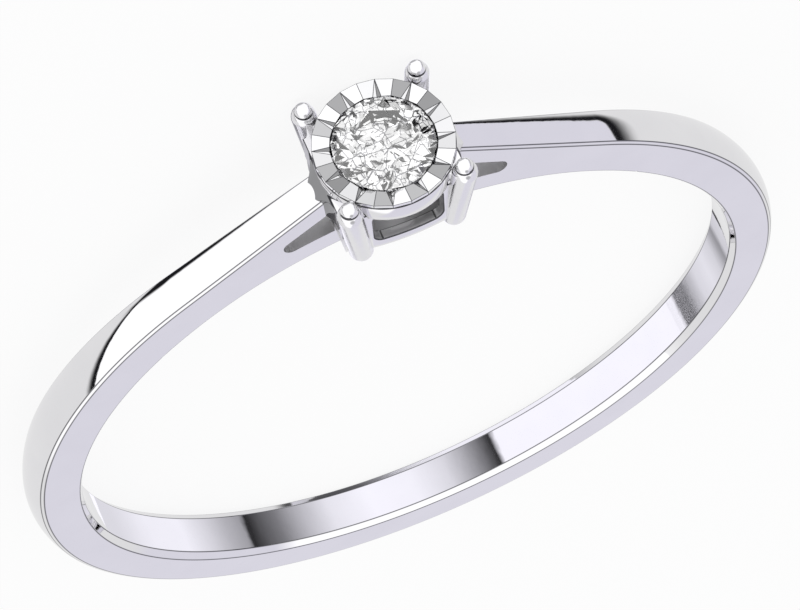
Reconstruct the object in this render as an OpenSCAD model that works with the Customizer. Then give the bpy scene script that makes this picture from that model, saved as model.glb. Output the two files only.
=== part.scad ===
/* [Band] */
// Inside diameter of the ring
bore_d = 17; // [16:0.5:18]
// Width of the band where it is widest
band_w = 1.38; // [1.3:0.02:1.5]
// Thickness of the band at its sides, from the bore to the crest
band_t = 1.28; // [1.2:0.02:1.4]
// How far the outer circle's centre sits away from the head, so the wall thickens at the bottom
band_shift = 0.22; // [0.1:0.02:0.3]
// Radius of the domed outside across the band
dome_r = 1.06; // [1:0.02:1.2]
// Radius of the gentle curve that narrows both side faces
face_r = 315; // [250:5:400]
// How far below the bore's centre the band is widest
face_drop = 4; // [3:0.5:5]
// Width of the straight stretch of the bore
bore_flat = 1; // [0.9:0.05:1.1]
// Slope of the eased edges of the bore, radius gained for each millimetre
bore_ease = 0.63; // [0.4:0.01:0.8]

/* [Shoulders] */
// Angle from the head at which a shoulder leaves the round band
shoulder_a = 31; // [30:0.5:32]
// Height of a shoulder's upper leg, above the slot
leg_h = 0.485; // [0.45:0.005:0.52]
// Height of the lower leg, the band under the slot
lower_leg_h = 0.5; // [0.45:0.01:0.55]
// Radius of the slot's round outer end
slot_tip_r = 0.2; // [0.16:0.01:0.22]
// Distance of the slot's inner wall from the head's middle
slot_in_x = 1.4; // [1.38:0.01:1.42]

/* [Head] */
// Height of the plate's rim above the bore
rim_h = 2.55; // [2.5:0.01:2.6]
// Outer diameter of the cup that holds the plate
cup_d = 3; // [2.96:0.02:3.04]
// Height of the cup's wall
cup_h = 0.5; // [0.46:0.01:0.54]
// Inner diameter of the cup
cup_bore_d = 2.56; // [2.5:0.02:2.6]
// Depth of the rim's edge, from the plate's top to the cup
rim_t = 0.1; // [0.08:0.01:0.12]
// Half width of the basket, across its side walls
wall_x = 1.43; // [1.42:0.01:1.45]
// Half width of the open inside of the basket
hollow_x = 1.15; // [1.1:0.01:1.18]
// Distance of the gallery's outer faces from the middle
gallery_y = 1.2; // [1.15:0.01:1.22]
// Thickness of the gallery's bars
gallery_t = 0.24; // [0.2:0.01:0.26]
// Height of the gallery's lower bar
rail_h = 0.28; // [0.24:0.01:0.32]
// Height of the lower bar's underside above the bore
rail_rise = 0.55; // [0.53:0.01:0.57]
// Thickness of the floor that closes the basket, above the lower leg
basket_t = 0.12; // [0.1:0.01:0.16]
// Half width of the gallery's window
window_x = 0.78; // [0.74:0.01:0.8]
// Radius of the window's corners
window_r = 0.2; // [0.15:0.01:0.24]
// Radius of the hollow curves in which a shoulder spreads to the basket
flare_r = 0.78; // [0.74:0.01:0.8]

/* [Claws] */
// Diameter of a claw's wire
claw_d = 0.54; // [0.5:0.01:0.56]
// Distance of a claw's foot from the head's axis
claw_foot = 1.5; // [1.48:0.01:1.52]
// Distance of a claw's top from the head's axis
claw_top = 1.8; // [1.79:0.01:1.84]
// Height of a claw's foot above the bore, at the centre of its round end
foot_rise = 0.43; // [0.42:0.01:0.46]
// Depth of a claw's top below the rim, at the centre of its round end
top_drop = 0.1; // [0.08:0.01:0.12]
// Diameter of a claw's bead
bead_d = 0.4; // [0.38:0.01:0.42]
// Gap between a bead and the plate's rim, seen from above
bead_gap = 0.09; // [0.08:0.005:0.1]

/* [Stone and plate] */
// Girdle diameter of the stone
stone_d = 2.2; // [2.16:0.01:2.24]
// Width of the table as a share of the girdle
table_share = 0.57; // [0.54:0.01:0.6]
// Angle of the crown's main facets
crown_a = 34.5; // [33:0.5:36]
// Angle of the pavilion's main facets
pavilion_a = 41; // [40:0.2:42]
// Height of the girdle
girdle_t = 0.05; // [0.04:0.01:0.07]
// Depth of the girdle's top below the rim
girdle_drop = 0.05; // [0.03:0.01:0.07]
// Depth of a V cut at the stone
cut_depth = 0.06; // [0.04:0.01:0.08]
// Fall of the plate's facets from the rim to the stone
dish = 0.05; // [0.03:0.01:0.07]
// Height of the ridge between the two facets of a pair, at the stone
ridge = 0.045; // [0.03:0.005:0.05]
// Running gap between the stone, the plate and the cup
seat_gap = 0.02; // [0.015:0.005:0.03]

/* [Hidden] */
round_n = 180;
small_n = 48;
strips = 12;
over = 3;
cuts = 12;
mains = 8;
keel_share = 0.22;
nose_share = 0.125;
root_share = 0.25;
bore_r = bore_d / 2;
crest_r = bore_r + band_t;
core_r = crest_r - dome_r;
half_w = band_w / 2;
rim_z = bore_r + rim_h;
cup_top = rim_z - rim_t - seat_gap;
cup_low = cup_top - cup_h;
cup_r = cup_d / 2;
floor_r = bore_r + lower_leg_h;
rail_low = bore_r + rail_rise;
rail_top = rail_low + rail_h;
claw_r = claw_d / 2;
bead_r = bead_d / 2;
bead_out = cup_r + bead_gap + bead_r;
bead_z = rim_z + bead_r / 2;
foot_z = bore_r + foot_rise;
top_z = rim_z - top_drop;
stone_r = stone_d / 2;
girdle_z = rim_z - girdle_drop;

// A point at this angle from the head and this distance from the bore's centre, as [x, z]
function polar(a, r) = [r * sin(a), r * cos(a)];
// The lines along a shoulder, as their distance from the bore's centre
crest_line = crest_r - band_shift * cos(shoulder_a);
head_half_w = half_width(cup_low);
edge_line = crest_line - dome_r + sqrt(dome_r * dome_r - head_half_w * head_half_w);
slot_line = edge_line - leg_h;
function slot_line_z(x) = (slot_line - x * sin(shoulder_a)) / cos(shoulder_a);
function crest_line_z(x) = (crest_line - x * sin(shoulder_a)) / cos(shoulder_a);
slot_tip_a = shoulder_a - acos((slot_line - slot_tip_r) / (floor_r + slot_tip_r));
slot_tip = polar(slot_tip_a, floor_r + slot_tip_r);

// The ring rests on two claws and on the band's far edge, which sets its tilt
rest_z = -(crest_r + band_shift - dome_r) - sqrt(dome_r * dome_r - half_w * half_w);
rest_y = half_width(rest_z);
claw_y = claw_top / sqrt(2);
rest_span = norm([top_z - rest_z, claw_y - rest_y]);
tilt = atan2(claw_y - rest_y, top_z - rest_z) + asin(claw_r / rest_span);
floor_z = rest_y * cos(tilt) - rest_z * sin(tilt);
reach_head = bead_z * cos(tilt) + bead_out / sqrt(2) * sin(tilt) + bead_r;
reach_foot = (core_r + band_shift) * cos(tilt) + dome_r;
mid_y = (reach_head - reach_foot) / 2;

// The ring is drawn with its axis along Y and its head up, then laid on its side
module laid_down()
    translate([0, -mid_y, floor_z])
        rotate([tilt - 90, 0, 0])
            children();

// Draws its flat outline, given as x and z, as a slab of this half width across the band
module across(half)
    rotate([90, 0, 0])
        linear_extrude(height = 2 * half, center = true)
            children();

module both_sides() {
    children();
    mirror([1, 0, 0]) children();
}

// Half the band's width at this height, widest below the middle
function half_width(z) = half_w - pow(z + face_drop, 2) / (2 * face_r);

// The space between the two gently curved side faces, each of a few flat strips
module between_faces() {
    reach = crest_r + over;
    heights = [for (i = [0:strips]) (2 * i / strips - 1) * reach];
    rotate([90, 0, 90])
        linear_extrude(height = 4 * crest_r, center = true)
            polygon(concat(
                [for (z = heights) [half_width(z), z]],
                [for (i = [strips:-1:0]) [-half_width(heights[i]), heights[i]]]
            ));
}

// One half of the band before its faces are cut: a circle swept round, then straight up to the head
module half_form()
    intersection() {
        translate([0, 0, -band_shift])
            rotate([90, shoulder_a, 0]) {
                rotate([0, 0, -90])
                    rotate_extrude(angle = 180, $fn = round_n)
                        translate([core_r, 0]) circle(r = dome_r, $fn = small_n);
                translate([0, core_r, 0])
                    rotate([0, -90, 0])
                        cylinder(r = dome_r, h = core_r * tan(shoulder_a), $fn = small_n);
            }
        translate([0, -over, -2 * crest_r]) cube([2 * crest_r, 2 * over, 4 * crest_r]);
    }

// The start of the lower leg, from the middle of the head out to the shoulder
module lower_leg()
    across(half_w) translate([0, bore_r - over]) square([over, lower_leg_h + over]);

module bore()
    rotate([90, 0, 0])
        rotate_extrude($fn = round_n)
            let (end = half_w + over, wide_r = bore_r + bore_ease * (end - bore_flat / 2))
                polygon([
                    [0, -end],
                    [wide_r, -end],
                    [bore_r, -bore_flat / 2],
                    [bore_r, bore_flat / 2],
                    [wide_r, end],
                    [0, end]
                ]);

// The outline of one shoulder's slot, as x and z
module slot_outline() {
    translate(slot_tip) circle(r = slot_tip_r, $fn = small_n);
    difference() {
        polygon([
            [slot_in_x, bore_r - over],
            [slot_in_x, slot_line_z(slot_in_x)],
            slot_tip + polar(shoulder_a, slot_tip_r),
            slot_tip,
            slot_tip - polar(slot_tip_a, slot_tip_r + over)
        ]);
        circle(r = floor_r, $fn = round_n);
    }
}

// The open middle of the basket, above the lower leg
module hollow_outline()
    difference() {
        translate([-hollow_x, bore_r - over]) square([2 * hollow_x, rim_h + 2 * over]);
        circle(r = floor_r, $fn = round_n);
    }

// Half of the band, its shoulder and the basket's side wall, up to the middle of the head
module half_shank()
    difference() {
        union() {
            intersection() {
                union() {
                    half_form();
                    lower_leg();
                }
                between_faces();
            }
            flare();
            side_wall();
        }
        bore();
        across(over) slot_outline();
        across(over) hollow_outline();
    }

// One shoulder's spread to the basket, between two hollow curves
module flare() {
    tip_x = wall_x + flare_r;
    nose_x = tip_x - flare_r * nose_share;
    intersection() {
        linear_extrude(height = 2 * crest_r)
            difference() {
                translate([hollow_x, -flare_r]) square([tip_x - hollow_x, 2 * flare_r]);
                for (side = [-1, 1])
                    translate([tip_x, side * (flare_r + seat_gap)]) circle(r = flare_r, $fn = small_n * 2);
            }
        across(flare_r)
            polygon([
                [hollow_x, slot_line_z(hollow_x) - leg_h / 2],
                [hollow_x, cup_low + seat_gap],
                [wall_x + flare_r * root_share, cup_low + seat_gap],
                [nose_x, crest_line_z(nose_x)],
                [nose_x, slot_line_z(nose_x) - leg_h / 2]
            ]);
    }
}

module side_wall()
    translate([hollow_x, -gallery_y + gallery_t / 2, rail_low])
        cube([wall_x - hollow_x, 2 * gallery_y - gallery_t, cup_low + seat_gap - rail_low]);

// The floor between the two galleries, fused to the lower leg
module basket_floor()
    translate([-hollow_x - seat_gap, -gallery_y + gallery_t / 2, floor_r - seat_gap * 2])
        cube([2 * (hollow_x + seat_gap), 2 * gallery_y - gallery_t, basket_t + seat_gap * 2]);

// The front or back of the basket: a lower bar with a window above it
module gallery_outline() {
    difference() {
        translate([-gallery_y, rail_low]) square([2 * gallery_y, cup_low + cup_h / 2 - rail_low]);
        round_window();
    }
    for (side = [-1, 1])
        difference() {
            translate([side > 0 ? window_x : -window_x - window_r, rail_low - window_r])
                square([window_r, window_r + rail_h / 2]);
            translate([side * window_x, rail_low - window_r]) circle(r = window_r, $fn = small_n);
        }
}

module round_window() {
    for (x = [-1, 1], z = [rail_top + window_r, cup_low - window_r])
        translate([x * (window_x - window_r), z]) circle(r = window_r, $fn = small_n);
    translate([-window_x, rail_top + window_r]) square([2 * window_x, cup_low - rail_top - 2 * window_r]);
    translate([window_r - window_x, rail_top]) square([2 * (window_x - window_r), cup_low - rail_top]);
}

module gallery()
    for (side = [-1, 1])
        translate([0, side * (gallery_y - gallery_t / 2), 0])
            across(gallery_t / 2) gallery_outline();

module cup()
    translate([0, 0, cup_low])
        difference() {
            cylinder(r = cup_r, h = cup_h, $fn = round_n);
            translate([0, 0, -over]) cylinder(d = cup_bore_d, h = cup_h + 2 * over, $fn = round_n);
        }

// One claw, leaning outwards, with its bead and the lug that ties it to the cup
module claw() {
    rise = top_z - foot_z;
    lean = atan2(claw_top - claw_foot, rise);
    length = norm([rise, claw_top - claw_foot]);
    translate([claw_foot, 0, foot_z])
        rotate([0, lean, 0])
            rotate_extrude($fn = small_n)
                intersection() {
                    union() {
                        circle(r = claw_r, $fn = small_n);
                        square([claw_r, length]);
                        translate([0, length]) circle(r = claw_r, $fn = small_n);
                    }
                    translate([0, -claw_r]) square([claw_r, length + claw_d]);
                }
    translate([bead_out, 0, bead_z]) sphere(r = bead_r, $fn = small_n);
    translate([cup_r - claw_r / 2, -claw_r / 2, cup_low]) cube([claw_r, claw_r, cup_h - seat_gap]);
}

module ring_mount()
    color("gainsboro")
        laid_down() {
            both_sides() half_shank();
            basket_floor();
            gallery();
            cup();
            for (i = [0:3]) rotate(45 + 90 * i) claw();
        }

// The stone: its table, its girdle and the facets between them, built up ring by ring
function ring_of(n, r, z, turn = 0) = [for (i = [0:n - 1]) [
    r * cos(360 / n * i + turn), r * sin(360 / n * i + turn), z
]];

module diamond() {
    half_a = 180 / mains;
    table_r = stone_r * table_share;
    crown_h = (stone_r - table_r) * tan(crown_a);
    star_r = (stone_r + table_r) / 2 / cos(half_a) * cos(half_a / 2);
    star_h = crown_h - (star_r * cos(half_a) - table_r) * tan(crown_a);
    low_r = stone_r * keel_share;
    low_h = (low_r * cos(half_a) - stone_r) * tan(pavilion_a) - girdle_t;
    tip_h = -stone_r * tan(pavilion_a) - girdle_t;
    points = concat(
        ring_of(mains, table_r, crown_h),
        ring_of(mains, star_r, star_h, half_a),
        ring_of(2 * mains, stone_r, 0),
        ring_of(2 * mains, stone_r, -girdle_t),
        ring_of(mains, low_r, low_h, half_a),
        [[0, 0, tip_h]]
    );
    star = mains;
    top = 2 * mains;
    low = 4 * mains;
    keel = 6 * mains;
    tip = 7 * mains;
    faces = concat(
        [[for (i = [mains - 1:-1:0]) i]],
        [for (i = [0:mains - 1]) each let (j = (i + 1) % mains) [
            [i, j, star + i],
            [j, star + j, top + 2 * j, star + i],
            [star + i, top + (2 * i + 1), top + 2 * i],
            [star + i, top + 2 * j, top + (2 * i + 1)],
            [low + 2 * i, low + (2 * i + 1), keel + i],
            [low + (2 * i + 1), low + 2 * j, keel + i],
            [keel + i, low + 2 * j, keel + j, tip]
        ]],
        [for (i = [0:2 * mains - 1]) let (j = (i + 1) % (2 * mains)) [top + i, top + j, low + j, low + i]]
    );
    color("azure")
        laid_down()
            translate([0, 0, girdle_z])
                polyhedron(points, faces);
}

// The plate: facets cut between V grooves, round a seat for the stone
module illusion_plate() {
    steps = 72;
    per_cut = steps / cuts;
    bore_top_r = stone_r + seat_gap;
    seat_low = cup_low + cup_h / 2;
    seat_depth = girdle_z - girdle_t - seat_low;
    seat_r = bore_top_r - seat_depth / tan(pavilion_a);
    spigot_r = cup_bore_d / 2 - seat_gap;
    // How many steps away the nearest groove is
    function place(i) = abs((i + per_cut / 2) % per_cut - per_cut / 2);
    function straight(i) = cos(180 / cuts / 2) / cos((i % (per_cut / 2)) * 360 / steps - 180 / cuts / 2);
    function at(i, r, z) = [r * cos(360 / steps * i), r * sin(360 / steps * i), z];
    rim = [for (i = [0:steps - 1]) at(i, cup_r * straight(i), rim_z)];
    function fall(i) = place(i) == 0 ? cut_depth : ridge * (1 - 2 * place(i) / per_cut);
    inner = [for (i = [0:steps - 1]) at(i, bore_top_r, rim_z - dish - fall(i))];
    rings = [
        rim,
        [for (i = [0:steps - 1]) at(i, cup_r, rim_z - rim_t)],
        [for (i = [0:steps - 1]) at(i, spigot_r, rim_z - rim_t)],
        [for (i = [0:steps - 1]) at(i, spigot_r, seat_low)],
        [for (i = [0:steps - 1]) at(i, seat_r, seat_low)],
        [for (i = [0:steps - 1]) at(i, bore_top_r, girdle_z - girdle_t - dish)],
        inner
    ];
    last = len(rings) - 1;
    color("whitesmoke")
        laid_down()
            rotate(180 / cuts)
                polyhedron(
                    [for (r = rings) each r],
                    [for (k = [0:last], i = [0:steps - 1]) each
                        let (
                            j = (i + 1) % steps,
                            a = k * steps,
                            b = (k + 1) % (last + 1) * steps
                        )
                        [[a + i, b + i, a + j], [a + j, b + i, b + j]]
                    ]
                );
}

ring_mount();
illusion_plate();
diamond();
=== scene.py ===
import math

import bpy
from mathutils import Matrix, Vector


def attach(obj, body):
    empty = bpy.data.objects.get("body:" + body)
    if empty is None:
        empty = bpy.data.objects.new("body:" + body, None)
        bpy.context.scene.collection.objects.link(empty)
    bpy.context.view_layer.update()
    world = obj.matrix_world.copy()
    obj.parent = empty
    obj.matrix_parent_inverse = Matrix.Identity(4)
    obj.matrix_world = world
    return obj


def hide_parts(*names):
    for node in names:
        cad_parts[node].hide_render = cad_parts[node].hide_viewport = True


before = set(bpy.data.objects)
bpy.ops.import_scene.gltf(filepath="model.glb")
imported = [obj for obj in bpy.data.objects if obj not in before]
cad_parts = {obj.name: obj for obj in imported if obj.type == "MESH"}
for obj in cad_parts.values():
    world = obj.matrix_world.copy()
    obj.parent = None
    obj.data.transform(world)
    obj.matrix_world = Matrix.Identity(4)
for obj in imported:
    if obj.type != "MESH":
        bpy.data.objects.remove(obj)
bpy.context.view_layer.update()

scene = bpy.context.scene
mm = 0.001


class Link:
    # one output in a node tree; Python's own operators add Math nodes to it
    def __init__(self, tree, socket):
        self.tree = tree
        self.socket = socket

    def join(self, operation, first, second):
        return self.tree.node("ShaderNodeMath", {"operation": operation}, {0: first, 1: second})

    def __add__(self, other):
        return self.join("ADD", self, other)

    def __radd__(self, other):
        return self.join("ADD", other, self)

    def __sub__(self, other):
        return self.join("SUBTRACT", self, other)

    def __rsub__(self, other):
        return self.join("SUBTRACT", other, self)

    def __mul__(self, other):
        return self.join("MULTIPLY", self, other)

    def __rmul__(self, other):
        return self.join("MULTIPLY", other, self)


class Tree:
    # a node tree that is filled through one method
    def __init__(self, owner):
        owner.use_nodes = True
        self.tree = owner.node_tree
        self.tree.nodes.clear()

    def node(self, kind, settings=None, inputs=None, output=0):
        made = self.tree.nodes.new(kind)
        for name, value in (settings or {}).items():
            if name == "stops":
                ramp = made.color_ramp.elements
                while len(ramp) < len(value):
                    ramp.new(0.5)
                for element, (place, colour) in zip(ramp, value):
                    element.position = place
                    element.color = (*colour, 1)
            else:
                setattr(made, name, value)
        for name, value in (inputs or {}).items():
            if isinstance(value, Link):
                self.tree.links.new(value.socket, made.inputs[name])
            else:
                made.inputs[name].default_value = value
        return Link(self, made.outputs[output]) if made.outputs else None

    def split(self, vector):
        return [self.node("ShaderNodeSeparateXYZ", {}, {0: vector}, axis) for axis in range(3)]

    def mark(self, name):
        # a number kept on the mesh
        return self.node("ShaderNodeAttribute", {"attribute_name": name}, output=2)

    def fade(self, value, low, high):
        # 0 below low, 1 above high, smooth between
        return self.node("ShaderNodeMapRange", {"interpolation_type": "SMOOTHSTEP"}, {
            "Value": value, "From Min": low, "From Max": high})

    def within(self, value, opens, closes):
        # 1 between two soft edges, each given as (start, end); None leaves that side open
        mask = self.fade(value, *opens) if opens else 1
        return mask * (1 - self.fade(value, *closes)) if closes else mask

    def blend(self, share, first, second):
        colours = [(*c, 1) if isinstance(c, tuple) else c for c in (first, second)]
        return self.node("ShaderNodeMix", {"data_type": "RGBA"}, {
            0: share, 6: colours[0], 7: colours[1]}, output=2)


def toLinear(tone):
    # a screen tone from 0 to 255 as light
    share = tone / 255
    return share / 12.92 if share <= 0.04045 else ((share + 0.055) / 1.055) ** 2.4


def newMaterial(name):
    material = bpy.data.materials.new(name)
    return material, Tree(material)


mountGold = {
    "colour": (0.86, 0.855, 0.87),
    "worn": (0.80, 0.795, 0.815),
    "dim": (0.31, 0.31, 0.32),    # painted dark reflection, where the tone mark says so
    "edge": (0.03, 0.03, 0.035),  # painted dark reflection lines along the chamfers, and painted shade round the beads
    "edgeShare": 0.95,
    "roughness": 0.025,
    "haze": 0.02,                 # extra roughness where the polish is a little dull
    "glow": 0.0,
    "grain": 900.0,               # patches to the metre
    "ripple": 0.00001,
}
wireGold = {**mountGold, "roughness": 0.14, "haze": 0.08}  # claws and beads
# the basket's as-cast inside: rougher, with painted shade in its darker colour and a painted glow for bounced
# light
insideGold = {
    "colour": (0.72, 0.715, 0.725),
    "worn": (0.62, 0.615, 0.625),
    "dim": (0.4, 0.4, 0.41),
    "edge": (0.03, 0.03, 0.035),
    "edgeShare": 0.9,
    "roughness": 0.3,
    "haze": 0.15,
    "glow": 0.015,                # light that has bounced about inside the basket
    "grain": 2500.0,
    "ripple": 0.00002,
}


def makeGold(name, look):
    material, tree = newMaterial(name)
    place = tree.node("ShaderNodeTexCoord", output="Object")
    patches = tree.node("ShaderNodeTexNoise", {}, {
        "Vector": place, "Scale": look["grain"], "Detail": 3.0, "Roughness": 0.55})
    edge, strip, tone = tree.mark("edge"), tree.mark("strip"), tree.mark("tone")
    line = edge.join("MAXIMUM", edge, strip)
    colour = tree.blend(patches, look["colour"], look["worn"])
    # painted dark reflection where the tone mark says so
    colour = tree.blend(tone, colour, look["dim"])
    # painted dark reflection lines along the chamfers and facets, and painted shade round the beads
    colour = tree.blend(line * look["edgeShare"], colour, look["edge"])
    bump = tree.node("ShaderNodeBump", {}, {
        "Strength": 0.2, "Distance": look["ripple"], "Height": patches})
    shader = tree.node("ShaderNodeBsdfPrincipled", {}, {
        "Base Color": colour, "Metallic": 1.0,
        "Roughness": patches * look["haze"] + look["roughness"], "Normal": bump,
        "Emission Color": (1, 1, 1, 1), "Emission Strength": look["glow"]})
    tree.node("ShaderNodeOutputMaterial", {}, {"Surface": shader})
    return material


stoneLook = {
    "tint": (1.0, 1.0, 1.0),
    "stroke": (0.05, 0.05, 0.06),
    "bend": 2.417,
    "grain": 2600.0,           # crossing painted dark reflection strokes to the metre
    "strokeEdge": (0.015, 0.03),
    "clouds": 1500.0,
    "haze": 0.01,
}


def makeStone(name, look):
    material, tree = newMaterial(name)
    place = tree.node("ShaderNodeTexCoord", output="Object")
    # dark strokes painted into the colour stand for the facets' dark reflections
    strokes = tree.node("ShaderNodeTexVoronoi", {"feature": "DISTANCE_TO_EDGE"}, {
        "Vector": place, "Scale": look["grain"]})
    clear = tree.fade(strokes, *look["strokeEdge"])
    clouds = tree.node("ShaderNodeTexNoise", {}, {
        "Vector": place, "Scale": look["clouds"], "Detail": 2.0})
    shader = tree.node("ShaderNodeBsdfPrincipled", {}, {
        "Base Color": tree.blend(clear, look["stroke"], look["tint"]), "Metallic": 0.0,
        "Roughness": clouds * look["haze"], "IOR": look["bend"], "Transmission Weight": 1.0})
    tree.node("ShaderNodeOutputMaterial", {}, {"Surface": shader})
    return material


def paint(piece, material):
    piece.data.materials.clear()
    piece.data.materials.append(material)


# how the ring lies: tipped by so many degrees, with the bore's middle so high and so far back
rest = {"tilt": 2.5052, "floor": 1.06295, "middle": 0.70161}
# what the metal pieces share
mesh = {
    "weld": 1e-5,          # points nearer than this become one
    "strip": 0.032,        # faces narrower than this are drawn as painted dark reflection lines
    "tip": 0.3,            # how far in the tip of an eased corner lies, as a share of its size
    "beside": 0.7,         # share of the edge line on both sides of that tip
    "shortest": 0.45,      # an eased corner takes no more than this of a short side
    "bevelSteps": 2,
    "bevelAngle": 35,
    "smooth": 32,          # degrees; faces that meet at less are shaded smooth
    "weight": 50,
}


def deselect():
    if bpy.context.object and bpy.context.object.mode != "OBJECT":
        bpy.ops.object.mode_set(mode="OBJECT")
    bpy.ops.object.select_all(action="DESELECT")


def activate(piece):
    deselect()
    piece.select_set(True)
    bpy.context.view_layer.objects.active = piece


def editAll(piece, *steps):
    # each step works on the whole mesh
    activate(piece)
    bpy.ops.object.mode_set(mode="EDIT")
    for step in steps:
        bpy.ops.mesh.select_all(action="SELECT")
        step()
    bpy.ops.object.mode_set(mode="OBJECT")


def weld():
    bpy.ops.mesh.remove_doubles(threshold=mesh["weld"])


def turnOutwards():
    bpy.ops.mesh.normals_make_consistent(inside=False)


def placePoints(piece, points):
    piece.data.vertices.foreach_set("co", [value for point in points for value in point])
    piece.data.update()


def markFaces(piece, name, values):
    marks = piece.data.attributes.new(name, "FLOAT", "FACE")
    marks.data.foreach_set("value", [float(value) for value in values])


def markStrips(piece):
    # the narrow faces of eased edges are drawn as painted dark reflection lines
    points = [v.co for v in piece.data.vertices]
    longest = [max((points[a] - points[b]).length for a, b in face.edge_keys) for face in piece.data.polygons]
    markFaces(piece, "strip", [
        face.area < mesh["strip"] * long for face, long in zip(piece.data.polygons, longest)])


def skin(rings, endless=True):
    # a skin through rings of (point, share of the edge line); endless joins the last ring to the first
    closed = [ring + ring[:1] for ring in (rings + rings[:1] if endless else rings)]
    deselect()
    bpy.ops.mesh.primitive_grid_add(x_subdivisions=len(rings[0]), y_subdivisions=len(closed) - 1, size=1)
    piece = bpy.context.object
    placePoints(piece, [point for ring in closed for point, _ in ring])
    marks = piece.data.attributes.new("edge", "FLOAT", "POINT")
    marks.data.foreach_set("value", [mark for ring in closed for _, mark in ring])
    editAll(piece, weld, lambda: bpy.ops.mesh.fill_holes(sides=0), turnOutwards)
    return piece


def prism(outline, low, high, gold):
    # a flat outline (x, z) pushed across the band, from y = low to y = high
    deselect()
    bpy.ops.mesh.primitive_circle_add(vertices=len(outline), radius=1, fill_type="NGON")
    piece = bpy.context.object
    placePoints(piece, [(x, low, z) for x, z in outline])
    push = {"value": (0, high - low, 0)}
    editAll(piece, lambda: bpy.ops.mesh.extrude_region_move(TRANSFORM_OT_translate=push), turnOutwards)
    paint(piece, gold)
    return piece


def lathe(profile, steps):
    # a closed profile (radius, z) spun round Z
    deselect()
    bpy.ops.mesh.primitive_circle_add(vertices=len(profile), radius=1, fill_type="NOTHING")
    piece = bpy.context.object
    placePoints(piece, [(r, 0, z) for r, z in profile])

    def spinRound():
        bpy.ops.mesh.spin(steps=steps, angle=2 * math.pi, center=(0, 0, 0), axis=(0, 0, 1))

    editAll(piece, spinRound, weld, turnOutwards)
    return piece


def box(place, size):
    deselect()
    bpy.ops.mesh.primitive_cube_add(size=1, location=place)
    piece = bpy.context.object
    piece.scale = size
    bpy.ops.object.transform_apply(location=True, rotation=True, scale=True)
    return piece


def cutWith(piece, cutter):
    activate(piece)
    modifier = piece.modifiers.new("cut", "BOOLEAN")
    modifier.operation = "DIFFERENCE"
    modifier.solver = "EXACT"
    modifier.material_mode = "TRANSFER"
    modifier.object = cutter
    bpy.ops.object.modifier_apply(modifier=modifier.name)
    bpy.data.objects.remove(cutter)


def bevel(piece, width):
    activate(piece)
    modifier = piece.modifiers.new("edges", "BEVEL")
    modifier.width = width
    modifier.segments = mesh["bevelSteps"]
    modifier.limit_method = "ANGLE"
    modifier.angle_limit = math.radians(mesh["bevelAngle"])
    bpy.ops.object.modifier_apply(modifier=modifier.name)


def joinAll(pieces):
    deselect()
    for piece in pieces:
        piece.select_set(True)
    bpy.context.view_layer.objects.active = pieces[0]
    bpy.ops.object.join()
    return bpy.context.object


def layDown(piece, r=rest):
    # from the drawing, in millimetres with the head up, to the ring lying on its side, in metres
    tilt = math.radians(r["tilt"] - 90)
    place = Matrix.Translation((0, -r["middle"], r["floor"])) @ Matrix.Rotation(tilt, 4, "X")
    piece.data.transform(Matrix.Scale(mm, 4) @ place)
    piece.data.update()


def finishMetal(piece):
    activate(piece)
    bpy.ops.object.shade_smooth_by_angle(angle=math.radians(mesh["smooth"]))
    modifier = piece.modifiers.new("shine", "WEIGHTED_NORMAL")
    modifier.mode = "FACE_AREA"
    modifier.weight = mesh["weight"]
    modifier.keep_sharp = True
    bpy.ops.object.modifier_apply(modifier=modifier.name)


band = {
    "boreRadius": 8.5,
    "boreFlat": 0.5,          # half the straight stretch of the bore
    "boreEase": 0.63,         # how steeply the bore opens beside it
    "domeRadius": 1.057,
    "crestRadius": 9.777,
    "shift": 0.22,            # the outside's middle lies so far below the bore's
    "shoulderTurn": 31.0,     # degrees from the head to where the straight shoulders leave the round
    "halfWidth": 0.69,
    "widestAt": -4.0,
    "faceRadius": 315.0,      # each side face curves in by this, above and below its widest place
    "chamferAcross": 0.046,
    "chamferDown": 0.05,
    "soft": 0.012,
    "easeLeast": 0.02,        # where the bore opens less than this, it has one corner and not two
    "archSteps": 460,
    "shoulderSteps": 60,
    "floorSteps": 20,
    "floorRadius": 9.0,
    "floorEnd": 1.3,
    "rounds": 12,             # rounds of reckoning in which the widths settle
    # where the skin's lines lie, as shares of each face
    "boreLines": (0, 0.25, 0.5, 0.75, 0.92),
    "shortLines": (0.97, 0.965, 0.96, 0.955, 0.95),
    "sideLines": (0.94, 0.85, 0.7, 0.55, 0.4, 0.25, 0.14),
    "domeLines": (0.93, 0.88, 0.82, 0.75, 0.67, 0.58, 0.49, 0.4, 0.3, 0.2, 0.1, 0),
    "underLines": (0, 0.3, 0.6, 0.8, 0.9, 0.95),
    "upperLines": (0.9, 0.7, 0.5, 0.25, 0),
    # what the corners' far sides reach towards: two shares of the side face and an angle on the dome
    "innerAim": 0.9,
    "outerAim": 0.05,
    "domeAim": 0.03,
}


def halfWidthAt(height, b=band):
    return b["halfWidth"] - (height - b["widestAt"]) ** 2 / (2 * b["faceRadius"])


def stations(b=band):
    # (crest point x, z, outward x, z) round the band, from the head's middle to the right and back
    turn = math.radians(b["shoulderTurn"])
    out = (math.sin(turn), math.cos(turn))
    start = (b["crestRadius"] * out[0], b["crestRadius"] * out[1] - b["shift"])
    reach = (start[0] - b["floorEnd"]) / out[1]
    right = []
    for i in range(b["shoulderSteps"]):
        back = reach * (1 - i / b["shoulderSteps"])
        right.append((start[0] - back * out[1], start[1] + back * out[0], *out))
    arch = []
    for i in range(b["archSteps"] + 1):
        a = turn + (2 * math.pi - 2 * turn) * i / b["archSteps"]
        arch.append((b["crestRadius"] * math.sin(a), b["crestRadius"] * math.cos(a) - b["shift"],
                     math.sin(a), math.cos(a)))
    left = [(-x, z, -nx, nz) for x, z, nx, nz in reversed(right)]
    return right + arch + left


def between(p, q, share):
    return tuple(a + (c - a) * share for a, c in zip(p, q))


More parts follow.
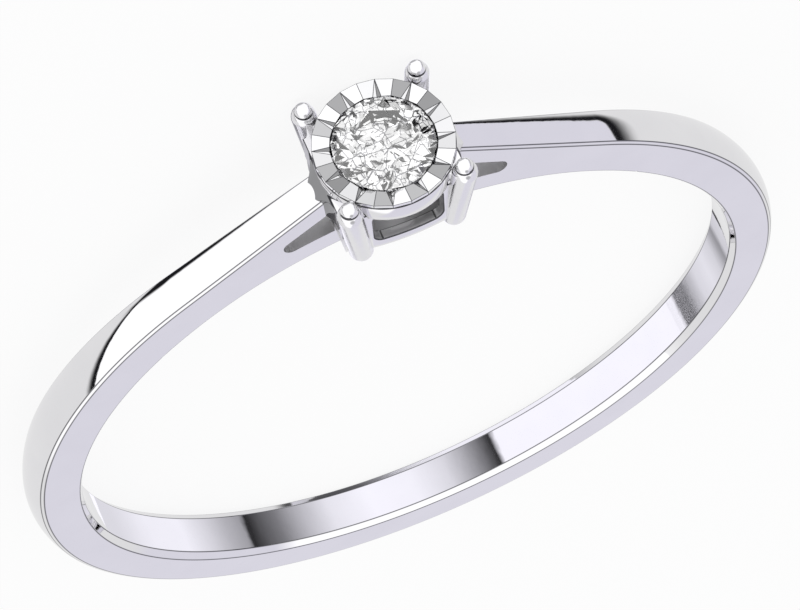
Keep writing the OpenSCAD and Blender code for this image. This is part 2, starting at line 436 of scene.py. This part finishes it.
def corner(before, at, after, soft):
    # a slightly rounded corner between two flat support points, as points with their share of the edge line
    def away(other, reach):
        return between(at, other, min(reach / max(math.dist(other, at), mesh["weld"]), mesh["shortest"]))

    first, last = away(before, soft), away(after, soft)
    tip = between(at, between(first, last, 0.5), 0.5)
    return [(away(before, 2 * soft), 0.0), (first, mesh["beside"]), (tip, 1.0), (last, mesh["beside"]),
            (away(after, 2 * soft), 0.0)]


def mirrorHalf(half):
    # the ring's other half, without the two points in the middle plane
    return half + [((x, -y, z), mark) for (x, y, z), mark in reversed(half[1:-1])]


def section(x, z, nx, nz, b=band):
    # one ring of the band's skin, as points (x, y, z) with their share of the edge line
    dome = b["domeRadius"]
    core = (x - dome * nx, z - dome * nz)
    long = math.hypot(x, z)
    ux, uz = x / long, z / long
    phi = math.asin(b["halfWidth"] / dome)
    eased = b["boreRadius"]
    for _ in range(b["rounds"]):
        wide = halfWidthAt(core[1] + dome * math.cos(phi) * nz)
        phi = math.asin(wide / dome)
        low = halfWidthAt(eased * uz)
        eased = b["boreRadius"] + b["boreEase"] * max(0.0, low - b["boreFlat"])
    edge = (core[0] + dome * math.cos(phi) * nx, core[1] + dome * math.cos(phi) * nz)
    flat = min(b["boreFlat"], low)
    inner = (eased * ux, eased * uz)
    bore = (b["boreRadius"] * ux, b["boreRadius"] * uz)
    side = b["chamferDown"] / math.dist(edge, inner)
    phiIn = math.asin((wide - b["chamferAcross"]) / dome)
    soft = b["soft"]

    def alongSide(share):
        # a point on the side face, share 0 at the dome's edge and 1 at the bore's
        px, pz = between(edge, inner, share)
        return px, halfWidthAt(pz), pz

    def onDome(angle):
        high = dome * math.cos(angle)
        return core[0] + high * nx, dome * math.sin(angle), core[1] + high * nz

    half = [((bore[0], flat * s, bore[1]), 0.0) for s in b["boreLines"]]
    flatEnd = (bore[0], flat, bore[1])
    sideLow, sideUp = alongSide(1.0), alongSide(b["innerAim"])
    if low - b["boreFlat"] > b["easeLeast"]:
        half += corner(half[-1][0], flatEnd, sideLow, soft)
        half += corner(flatEnd, sideLow, sideUp, soft)
    else:
        half += corner(half[-1][0], sideLow, sideUp, soft)
        half += [(alongSide(s), 0.0) for s in b["shortLines"]]
    half += [(alongSide(s), 0.0) for s in b["sideLines"]]
    sideHigh, domeEdge = alongSide(side), onDome(phiIn)
    half += corner(alongSide(side + b["outerAim"]), sideHigh, domeEdge, soft)
    half += corner(sideHigh, domeEdge, onDome(phiIn - b["domeAim"]), soft)
    half += [(onDome(phiIn * s), 0.0) for s in b["domeLines"]]
    return mirrorHalf(half)


def floorSection(x, count, b=band):
    # the lower leg under the head: bore below, a round floor above
    angle = math.asin(x / b["floorRadius"])
    ux, uz = math.sin(angle), math.cos(angle)
    low = halfWidthAt(b["boreRadius"] * uz)
    top = halfWidthAt(b["floorRadius"] * uz)
    soft, near = b["soft"], b["soft"] * mesh["tip"]
    r0, r1 = b["boreRadius"], b["floorRadius"]
    under = [(low * s, r0) for s in b["underLines"]]
    under += [(low - soft, r0), (low - near, r0 + near), (low, r0 + soft)]
    upper = [(top, r1 - soft), (top - near, r1 - near), (top - soft, r1)]
    upper += [(top * s, r1) for s in b["upperLines"]]
    steps = count - len(under) - len(upper) + 1
    side = [between((low, r0), (top, r1), s / steps) for s in range(1, steps)]
    return mirrorHalf([((r * ux, y, r * uz), 0.0) for y, r in under + side + upper])


def shapeBand(b=band):
    rings = [section(*s) for s in stations()]
    count = (len(rings[0]) + 2) // 2
    for i in range(b["floorSteps"] + 1):
        rings.append(floorSection(-b["floorEnd"] + 2 * b["floorEnd"] * i / b["floorSteps"], count))
    return skin(rings)


head = {
    "slotIn": 1.4,
    "slotTip": 0.2,
    "slotReach": 2.0,         # half the length of what cuts the slots
    "legHeight": 0.485,
    "cupLow": 10.43,
    "cupTop": 10.93,
    "cupRadius": 1.5,
    "cupBore": 1.28,
    "cupSteps": 128,
    "wall": 1.43,
    "wallEdge": 0.02,
    "wallLap": 0.05,          # how far the walls reach up into the cup
    "hollow": 1.15,
    "galleryY": 1.2,
    "galleryThick": 0.24,
    "galleryLap": 0.1,
    "galleryCuts": 10,        # steps of the bow on each side of the middle
    "bow": 0.07,              # the galleries' outward curve
    "bowPast": 0.15,          # it ends so far beside the window
    "railLow": 9.05,
    "railTop": 9.33,
    "window": 0.78,
    "windowRound": 0.2,
    "windowReach": 1.0,       # half the length of what cuts the windows
    "roundSteps": 8,
    "slotSteps": 14,
    "flareRadius": 0.78,
    "flareNose": 0.125,       # how much of that radius is left off at the pointed end
    "flareGap": 0.02,
    "flareFloor": 0.05,
    "flareLap": 0.01,
    "flareEase": 0.4,         # its edges take no more than this of a narrow top
    "flareSteps": 32,
    "flareTones": (1.0, 0.1),     # how much painted dark reflection the left and the right one get
    "edge": 0.025,
    "basketFloor": 0.12,
    "basketLap": (0.02, 0.04),    # how far the basket's floor reaches into the walls and the lower leg
}
# which inner faces of the basket are as cast and get painted shade: how far out and how high they lie, and
# how steep they are
castAndShadePlaces = {
    "out": 0.1,
    "below": 0.5,
    "rim": 0.02,
    "inward": 0.5,
    "steep": 0.7,
    "cupIn": 0.05,
}


def lineData():
    # the shoulders' slope, the crest's distance from the middle, and the slots' upper line's
    turn = math.radians(band["shoulderTurn"])
    crest = band["crestRadius"] - band["shift"] * math.cos(turn)
    wide = halfWidthAt(head["cupLow"])
    edge = crest - band["domeRadius"] + math.sqrt(band["domeRadius"] ** 2 - wide ** 2)
    return turn, crest, edge - head["legHeight"]


def arc(cx, cz, radius, start, end, steps):
    # points on a circle; angles in degrees from the head's direction, towards +x
    angles = [math.radians(start + (end - start) * i / steps) for i in range(steps + 1)]
    return [(cx + radius * math.sin(a), cz + radius * math.cos(a)) for a in angles]


def slotOutline(h=head):
    turn, _, slotLine = lineData()
    out = band["floorRadius"] + h["slotTip"]
    tipAngle = turn - math.acos((slotLine - h["slotTip"]) / out)
    high = (slotLine - h["slotIn"] * math.sin(turn)) / math.cos(turn)
    inAngle = math.degrees(math.asin(h["slotIn"] / band["floorRadius"]))
    outline = [(h["slotIn"], high)]
    outline += arc(out * math.sin(tipAngle), out * math.cos(tipAngle), h["slotTip"],
                   math.degrees(turn), math.degrees(tipAngle) + 180, 2 * h["roundSteps"])
    outline += arc(0, 0, band["floorRadius"], math.degrees(tipAngle), inAngle, h["slotSteps"])[1:]
    return outline


def shapeWall(side, gold, h=head):
    low, high = h["railLow"], h["cupLow"] + h["wallLap"]
    outline = [(h["hollow"], low), (h["hollow"], high), (h["wall"], high), (h["wall"], low)]
    deep = h["galleryY"] - h["galleryThick"] / 2
    wall = prism([(side * x, z) for x, z in outline], -deep, deep, gold)
    bevel(wall, h["wallEdge"])
    markStrips(wall)
    return wall


def shapeGallery(side, gold, inside, h=head):
    # a bar across the basket with a rounded window above it, bowed a little outwards
    wide, thick, r, w = h["galleryY"], h["galleryThick"], h["windowRound"], h["window"]
    low, high = h["railLow"], h["cupLow"] + h["galleryLap"]
    panel = box((0, 0, (low + high) / 2), (2 * wide, thick, high - low))
    paint(panel, gold)
    outline = []
    for cx, cz, start in ((w - r, h["cupLow"] - r, 0), (w - r, h["railTop"] + r, 90),
                          (r - w, h["railTop"] + r, 180), (r - w, h["cupLow"] - r, 270)):
        outline += arc(cx, cz, r, start, start + 90, h["roundSteps"])
    cutWith(panel, prism(outline, -h["windowReach"], h["windowReach"], inside))
    bevel(panel, h["edge"])
    cuts = h["galleryCuts"]
    editAll(panel, *[lambda x=wide * v / cuts: bpy.ops.mesh.bisect(plane_co=(x, 0, 0), plane_no=(1, 0, 0))
                     for v in range(1 - cuts, cuts)])
    points = []
    for v in panel.data.vertices:
        x, y, z = v.co
        bow = h["bow"] * max(0.0, 1 - (x / (w + h["bowPast"])) ** 2)
        points.append((x, side * (wide - thick / 2 + bow) + y, z))
    placePoints(panel, points)
    markStrips(panel)
    return panel


def shapeFlare(side, gold, h=head):
    # a shoulder's spread to the basket: narrow at the nose, hollow curves in plan and along its top
    r = h["flareRadius"]
    tip = h["wall"] + r
    nose = tip - r * h["flareNose"]
    turn, crest, slotLine = lineData()
    floor = band["floorRadius"] + h["flareFloor"]
    level = h["cupLow"] + h["flareGap"]
    bend = h["wall"] + h["edge"]
    noseZ = (crest - nose * math.sin(turn)) / math.cos(turn)
    rings = []
    for i in range(h["flareSteps"] + 1):
        x = h["hollow"] + (nose - h["hollow"]) * i / h["flareSteps"]
        wide = r if x < h["wall"] else r + h["flareGap"] - math.sqrt(max(0.0, r * r - (tip - x) ** 2))
        share = max(0.0, (x - bend) / (nose - bend))
        top = level + (noseZ - level) * (1 - (1 - share) ** 2)
        low = max(floor, (slotLine - x * math.sin(turn)) / math.cos(turn) + h["flareLap"])
        near = min(h["edge"], wide * h["flareEase"])
        half = [(0, top), (wide * 0.5, top), (wide - near, top), (wide, top - near), (wide, low)]
        outline = half + [(-y, z) for y, z in reversed(half[1:])]
        rings.append([((side * x, y, z), 0.0) for y, z in outline])
    flare = skin(rings, endless=False)
    paint(flare, gold)
    # painted dark reflection on the flare, heavy on the left and light on the right
    markFaces(flare, "tone", [h["flareTones"][side > 0]] * len(flare.data.polygons))
    markStrips(flare)
    return flare


def shapeCup(h=head):
    # a short tube with eased edges
    e, near = h["edge"], h["edge"] * mesh["tip"]
    inner, outer, low, high = h["cupBore"], h["cupRadius"], h["cupLow"], h["cupTop"]
    profile = [(inner, low + e), (inner + near, low + near), (inner + e, low),
               (outer - e, low), (outer - near, low + near), (outer, low + e),
               (outer, high - e), (outer - near, high - near), (outer - e, high),
               (inner + e, high), (inner + near, high - near), (inner, high - e)]
    cup = lathe(profile, h["cupSteps"])
    markStrips(cup)
    return cup


claw = {
    "radius": 0.27,
    "foot": 1.5,
    "top": 1.8,
    "footZ": 8.93,
    "topZ": 10.95,
    "steps": 40,
    "endSteps": 10,
    "beadRadius": 0.2,
    "beadOut": 1.79,
    "beadZ": 11.15,
    "beadRings": 24,
    "seamShade": 0.05,               # how far the bead's painted shade, where it meets the wire, reaches out of the wire
    "lugGap": (0.01, 0.03),     # how far the lug stays inside the cup's height, below and above
}


def shapeClaw(turnTo, c=claw, h=head):
    r = c["radius"]
    lean = math.atan2(c["top"] - c["foot"], c["topZ"] - c["footZ"])
    length = math.hypot(c["top"] - c["foot"], c["topZ"] - c["footZ"])
    foot = arc(0, 0, r, 180, 90, c["endSteps"])
    end = [(x, z + length) for x, z in arc(0, 0, r, 90, 0, c["endSteps"])]
    profile = [(0.0, -r)] + foot[1:] + end[:-1] + [(0.0, length + r)]
    wire = lathe(profile, c["steps"])
    wire.data.transform(Matrix.Translation((c["foot"], 0, c["footZ"])) @ Matrix.Rotation(lean, 4, "Y"))
    deselect()
    bpy.ops.mesh.primitive_uv_sphere_add(segments=c["steps"], ring_count=c["beadRings"],
                                         radius=c["beadRadius"], location=(c["beadOut"], 0, c["beadZ"]))
    bead = bpy.context.object
    bpy.ops.object.transform_apply(location=True, rotation=True, scale=True)
    wireEnd = Vector((c["top"], 0, c["topZ"]))
    # painted shade round the bead where it meets the wire
    markFaces(bead, "strip", [(face.center - wireEnd).length < r + c["seamShade"] for face in bead.data.polygons])
    low, high = h["cupLow"] + c["lugGap"][0], h["cupTop"] - c["lugGap"][1]
    lug = box((h["cupRadius"], 0, (low + high) / 2), (r, r, high - low))
    made = [wire, bead, lug]
    for piece in made:
        piece.data.transform(Matrix.Rotation(math.radians(turnTo), 4, "Z"))
    return made


def shapeBasketFloor(inside, h=head):
    across, down = h["basketLap"]
    wide, deep = h["hollow"] + across, h["galleryY"] - h["galleryThick"] / 2
    low, high = band["floorRadius"] - down, band["floorRadius"] + h["basketFloor"]
    return prism([(-wide, low), (-wide, high), (wide, high), (wide, low)], -deep, deep, inside)


def castAndShadeInside(piece, inside, h=head, c=castAndShadePlaces):
    # the basket's hidden inner faces are left as cast, with painted shade and a painted glow
    slot = piece.data.materials.find(inside.name)
    for face in piece.data.polygons:
        x, y, z = face.center
        out = math.hypot(x, y)
        inBasket = out < h["cupRadius"] + c["out"] and abs(y) < h["galleryY"]
        inHeight = h["railLow"] - c["below"] < z < h["cupTop"] - c["rim"]
        inward = face.normal.x * x + face.normal.y * y < -c["inward"] * out
        underCup = out < h["cupRadius"] - c["cupIn"] and z > h["cupLow"] - c["cupIn"]
        under = underCup and face.normal.z < -c["steep"]
        floor = face.normal.z > c["steep"] and abs(x) < h["slotIn"] and z < band["floorRadius"] + c["rim"]
        if inBasket and inHeight and (inward or under or floor):
            face.material_index = slot


def makeMount(gold, soft, inside, h=head):
    shank = shapeBand()
    paint(shank, gold)
    parts = [shank]
    for side in (1, -1):
        wall, flare = shapeWall(side, gold), shapeFlare(side, gold)
        for piece in (shank, wall, flare):
            outline = [(side * x, z) for x, z in slotOutline()]
            cutWith(piece, prism(outline, -h["slotReach"], h["slotReach"], inside))
        parts += [wall, flare, shapeGallery(side, gold, inside)]
    cup = shapeCup()
    paint(cup, gold)
    parts += [shapeBasketFloor(inside), cup]
    for quarter in range(4):
        for piece in shapeClaw(45 + 90 * quarter):
            paint(piece, soft)
            parts.append(piece)
    mount = joinAll(parts)
    castAndShadeInside(mount, inside)
    layDown(mount)
    finishMetal(mount)
    mount.name = "polished_mount"
    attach(mount, "root")
    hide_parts("ring_mount")
    print("mount shaped:", len(mount.data.polygons), "faces")


# dim is the painted dark reflection on the facets, edge the painted dark line round them
plateGold = {
    "colour": (0.9, 0.9, 0.91),
    "worn": (0.85, 0.85, 0.87),
    "dim": (0.25, 0.25, 0.255),
    "edge": (0.04, 0.04, 0.045),
    "edgeShare": 0.9,
    "roughness": 0.02,
    "haze": 0.02,
    "glow": 0.0,
    "grain": 2500.0,
    "ripple": 0.00001,
}
plate = {
    "cuts": 12,
    "rimRadius": 1.5,
    "rimZ": 11.05,
    "rimDeep": 0.1,
    "spigot": 1.26,
    "seatLow": 10.68,
    "seatRadius": 0.81,
    "stoneGap": 1.12,
    "collarZ": 10.9,
    "dish": 0.05,
    "cutDepth": 0.06,
    "ridge": 0.045,
    "cutHalf": 4.5,        # degrees, half a groove's width at the stone
    "grooveShare": 0.6,    # faces nearer to a groove's middle than this share of it are the groove's own
    "upward": 0.3,
    "line": 0.008,
    # how much painted dark reflection each facet gets, round by +x from beside the point that is lowest as
    # the ring lies
    "tones": (0.1, 0.85, 0.0, 0.95, 0.3, 0.2, 0.35, 0.0, 0.85, 0.05, 0.7, 0.1,
              0.75, 0.5, 0.35, 1.0, 0.75, 0.3, 0.05, 0.6, 0.0, 0.85, 0.0, 0.15),
    "grooveTones": (0.2, 1.25),     # the same for the two sides of each groove
}


def facetPaintedReflection(face, p=plate):
    # how much painted dark reflection a face gets, or None where it is no facet
    x, y, z = face.center
    if face.normal.z <= p["upward"] or z <= p["rimZ"] - p["dish"] - p["cutDepth"]:
        return None
    pitch = 360 / p["cuts"]
    turn = (math.degrees(math.atan2(x, y)) - pitch / 2) % 360
    offset = (turn + pitch / 2) % pitch - pitch / 2
    if abs(offset) < p["cutHalf"] * p["grooveShare"]:
        return p["grooveTones"][offset > 0]
    return p["tones"][int(turn / (pitch / 2)) % len(p["tones"])]


def makePlate(gold, p=plate):
    # facets in pairs between V grooves, round a seat for the stone
    pitch = 360 / p["cuts"]
    beside = p["ridge"] * (1 - 2 * p["cutHalf"] / pitch)
    low = p["rimZ"] - p["rimDeep"]
    columns = []
    for cut in range(p["cuts"]):
        middle = (cut + 0.5) * pitch
        for turn, rimTurn, fall in ((-p["cutHalf"], 0, beside), (0, 0, p["cutDepth"]),
                                    (p["cutHalf"], 0, beside), (pitch / 2, pitch / 2, 0)):
            a, rim = math.radians(middle + turn), math.radians(middle + rimTurn)
            places = ((p["stoneGap"], a, p["rimZ"] - p["dish"] - fall), (p["rimRadius"], rim, p["rimZ"]),
                      (p["rimRadius"], rim, low), (p["spigot"], a, low), (p["spigot"], a, p["seatLow"]),
                      (p["seatRadius"], a, p["seatLow"]), (p["stoneGap"], a, p["collarZ"]))
            columns.append([((r * math.sin(t), r * math.cos(t), z), 0.0) for r, t, z in places])
    piece = skin(columns)
    paint(piece, gold)
    tones = [facetPaintedReflection(face) for face in piece.data.polygons]
    markFaces(piece, "tone", [tone or 0.0 for tone in tones])
    # a fine painted dark reflection line round each facet
    activate(piece)
    piece.data.polygons.foreach_set("select", [tone is not None for tone in tones])
    bpy.ops.object.mode_set(mode="EDIT")
    bpy.ops.mesh.inset(thickness=p["line"], use_individual=True)
    bpy.ops.object.mode_set(mode="OBJECT")
    markFaces(piece, "strip", [face.index >= len(tones) and not face.select for face in piece.data.polygons])
    layDown(piece)
    piece.name = "bright_cut_plate"
    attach(piece, "root")
    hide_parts("illusion_plate")
    print("plate shaped:", len(piece.data.polygons), "faces")


makeMount(makeGold("whiteGold", mountGold), makeGold("wireGold", wireGold), makeGold("castGoldWithPaintedShade", insideGold))
makePlate(makeGold("brightCutGold", plateGold))
paint(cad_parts["diamond"], makeStone("cutDiamond", stoneLook))
print("stone cut")


studio = {
    "plain": (1.0, 1.0, 1.0),           # what the floor and the camera see all round
    "white": (1.25, 1.25, 1.25),
    "grey": (0.857, 0.857, 0.857),
    "lavender": (0.8, 0.788, 0.868),
    "black": (0.012, 0.012, 0.014),
    "dim": (0.5, 0.5, 0.51),
    "sparks": 13.0,                     # cells of light that the stone sees
    "sparkDim": (0.9, 0.9, 0.9),
    "sparkBright": (1.6, 1.6, 1.6),
    "sparkGap": (0.02, 0.02, 0.02),
    "gapEdge": (0.02, 0.045),
    # upright lines bow by a share of the square of the height above some height: line, height, share
    "bows": (("straight", 0, 0), ("left", -30, 0.006), ("right", -5, -0.0087)),
    # what hangs in the tent, in the order that it is hung: the line that it follows, its soft left and
    # right edges in degrees from the head towards +x, its soft lower and upper edges, and its colour
    "walls": (
        ("left", None, (-83.0, -82.4), None, (22, 34), "grey"),
        ("right", (72.8, 74.8), None, None, (22, 34), "grey"),
        ("straight", (60, 72), None, (8, 14), None, "lavender"),
        ("straight", None, (-170, -164), (8, 14), None, "lavender"),
        ("right", (60, 66), (72.4, 73.0), None, None, "lavender"),
        ("left", (-88.5, -84.5), (-82.8, -82.3), None, (12, 18), "black"),
        ("right", (72.4, 73.0), (74.5, 82), None, (12, 20), "black"),
        ("straight", (80, 86), (100, 112), (-64, -60), (-53, -48), "black"),
        ("straight", (-96, -86), (-74, -69), (-68, -62), (-52, -46), "black"),
        ("straight", None, None, None, (-72, -62), "dim"),
        ("straight", None, None, (68, 76), None, "dim"),
    ),
}


def makeSky(look):
    # a white tent with grey flats and dark gaps, seen in the metal; the stone sees cells of light instead
    sky = bpy.data.worlds.new("tent")
    tree = Tree(sky)
    aim = tree.node("ShaderNodeTexCoord", output="Generated")
    along, towards, up = tree.split(aim)
    az = along.join("ARCTAN2", along, towards) * math.degrees(1)
    el = up.join("ARCSINE", up, 0) * math.degrees(1)
    lines = {name: az + (el - level) * (el - level) * share for name, level, share in look["bows"]}
    tent = look["white"]
    for line, left, right, lower, upper, colour in look["walls"]:
        mask = tree.within(lines[line], left, right) * tree.within(el, lower, upper)
        tent = tree.blend(mask, tent, look[colour])
    gaps = tree.node("ShaderNodeTexVoronoi", {"feature": "DISTANCE_TO_EDGE"}, {
        "Vector": aim, "Scale": look["sparks"]})
    cells = tree.node("ShaderNodeTexVoronoi", {}, {"Vector": aim, "Scale": look["sparks"]}, "Color")
    sparks = tree.blend(tree.split(cells)[1], look["sparkDim"], look["sparkBright"])
    sparks = tree.blend(tree.fade(gaps, *look["gapEdge"]), look["sparkGap"], sparks)
    mirrored = tree.node("ShaderNodeLightPath", output="Is Glossy Ray")
    through = tree.node("ShaderNodeLightPath", output="Is Transmission Ray")
    colour = tree.blend(mirrored, look["plain"], tent)
    colour = tree.blend(through, colour, sparks)
    background = tree.node("ShaderNodeBackground", {}, {"Color": colour, "Strength": 1.0})
    tree.node("ShaderNodeOutputWorld", {}, {"Surface": background})
    return sky


floorLook = {
    "size": 1.0,                        # metres across
    "steps": 8,
    "colour": (0.12, 0.12, 0.121),
    "shade": (0.1176, 0.1176, 0.11858),
    "mottle": 40.0,
    "roughness": 0.8,
    "glow": 0.86,                       # the floor is a light table
}


def makeFloor(look):
    deselect()
    steps = look["steps"]
    bpy.ops.mesh.primitive_grid_add(x_subdivisions=steps, y_subdivisions=steps, size=look["size"])
    floor = bpy.context.object
    floor.name = "floor"
    material, tree = newMaterial("paleFloor")
    place = tree.node("ShaderNodeTexCoord", output="Object")
    mottle = tree.node("ShaderNodeTexNoise", {}, {"Vector": place, "Scale": look["mottle"]})
    shader = tree.node("ShaderNodeBsdfPrincipled", {}, {
        "Base Color": tree.blend(mottle, look["colour"], look["shade"]), "Roughness": look["roughness"],
        "Specular IOR Level": 0.0, "Emission Color": (1, 1, 1, 1), "Emission Strength": look["glow"]})
    tree.node("ShaderNodeOutputMaterial", {}, {"Surface": shader})
    paint(floor, material)
    floor.visible_glossy = False
    floor.visible_transmission = False


drumLook = {
    "radius": 8.3,
    "top": -0.05,
    "bottom": -7.3,
    "tint": (1.0, 0.99, 1.06),
    "start": -125,             # where the round begins, in degrees from the head
    "teethFrom": 105,
    "teethTo": 235,
    "tooth": 0.25,
    "toothDeep": 0.022,
    # the two painted reflections: angle round the ring, then how light it looks in the gold, from 0 to 255
    "far": ((-125, 252), (-31.5, 252), (-30.2, 5), (-25, 96), (-16, 162), (-3, 220), (15, 247), (38, 252),
            (60, 233), (76, 187), (90, 123), (107, 46), (109.2, 46), (110.2, 158), (121, 183), (135, 217),
            (152, 245), (178, 242), (200, 228), (214, 220), (235, 216)),
    "near": ((105, 213), (121, 205), (127, 148), (132, 168), (142, 212), (157, 229), (171, 219), (180, 176),
             (187, 90), (196, 66), (198, 252), (235, 252)),
    "partingFrom": (202.0, 204.0),      # beyond this angle the low part has the near painted reflection
    "parting": (-2.65, -2.55),
}


def makeDrum(look):
    # a glowing band of painted reflections under the glass floor, seen in the bore alone; each tooth shows
    # one of them to the reflections from the right and the other to those from the left
    columns = [(a, look["radius"]) for a in range(look["start"], look["teethFrom"])]
    for i in range(round((look["teethTo"] - look["teethFrom"]) / look["tooth"])):
        a = look["teethFrom"] + i * look["tooth"]
        columns += [(a, look["radius"] - look["toothDeep"]), (a + look["tooth"], look["radius"])]
    deselect()
    bpy.ops.mesh.primitive_grid_add(x_subdivisions=len(columns) - 1, y_subdivisions=1, size=1)
    drum = bpy.context.object
    drum.name = "bore_reflection_band"
    rounds = [(r, math.radians(a)) for a, r in columns]
    placePoints(drum, [(r * math.sin(a) * mm, (r * math.cos(a) - rest["middle"]) * mm, z * mm)
                       for z in (look["bottom"], look["top"]) for r, a in rounds])
    markFaces(drum, "riser", [a == b for (a, _), (b, _) in zip(columns, columns[1:])])
    material, tree = newMaterial("paintedBoreReflection")
    along, towards, up = tree.split(tree.node("ShaderNodeTexCoord", output="Object"))
    angle = along.join("ARCTAN2", along, towards + rest["middle"] * mm) * math.degrees(1)
    angle = angle + 360 * angle.join("LESS_THAN", angle, look["start"])
    span = look["teethTo"] - look["start"]
    place = (angle - look["start"]) * (1 / span)
    paintedReflections = []
    for name in ("far", "near"):
        stops = []
        for a, tone in look[name]:
            light = toLinear(tone) / mountGold["colour"][0]
            stops.append(((a - look["start"]) / span, tuple(light * c for c in look["tint"])))
        paintedReflections.append(tree.node("ShaderNodeValToRGB", {"stops": stops}, {0: place}))
    beyond = tree.fade(angle, *look["partingFrom"])
    isLow = 1 - tree.fade(up * (1 / mm), *look["parting"])
    isNear = beyond.join("MAXIMUM", tree.mark("riser") * (1 - beyond), beyond * isLow)
    shader = tree.node("ShaderNodeEmission", {}, {"Color": tree.blend(isNear, *paintedReflections), "Strength": 1.0})
    tree.node("ShaderNodeOutputMaterial", {}, {"Surface": shader})
    paint(drum, material)
    for way in ("camera", "diffuse", "transmission", "shadow", "volume_scatter"):
        setattr(drum, "visible_" + way, False)


makeFloor(floorLook)
makeDrum(drumLook)
scene.world = makeSky(studio)
scene.view_settings.view_transform = "Standard"

cameraSetup = {
    "place": (-0.00743884, 0.05422628, 0.02726758),
    "turn": (-61.168222, -22.370309, -3.656895),
    "lens": 112.5,
    "sensor": 36,
    "nearest": 0.001,
    "farthest": 10,
}


def makeCamera(setup):
    deselect()
    bpy.ops.object.camera_add(location=setup["place"], rotation=[math.radians(a) for a in setup["turn"]])
    camera = bpy.context.object
    camera.data.lens = setup["lens"]
    camera.data.sensor_width = setup["sensor"]
    camera.data.clip_start = setup["nearest"]
    camera.data.clip_end = setup["farthest"]
    scene.camera = camera


makeCamera(cameraSetup)
print("studio set")
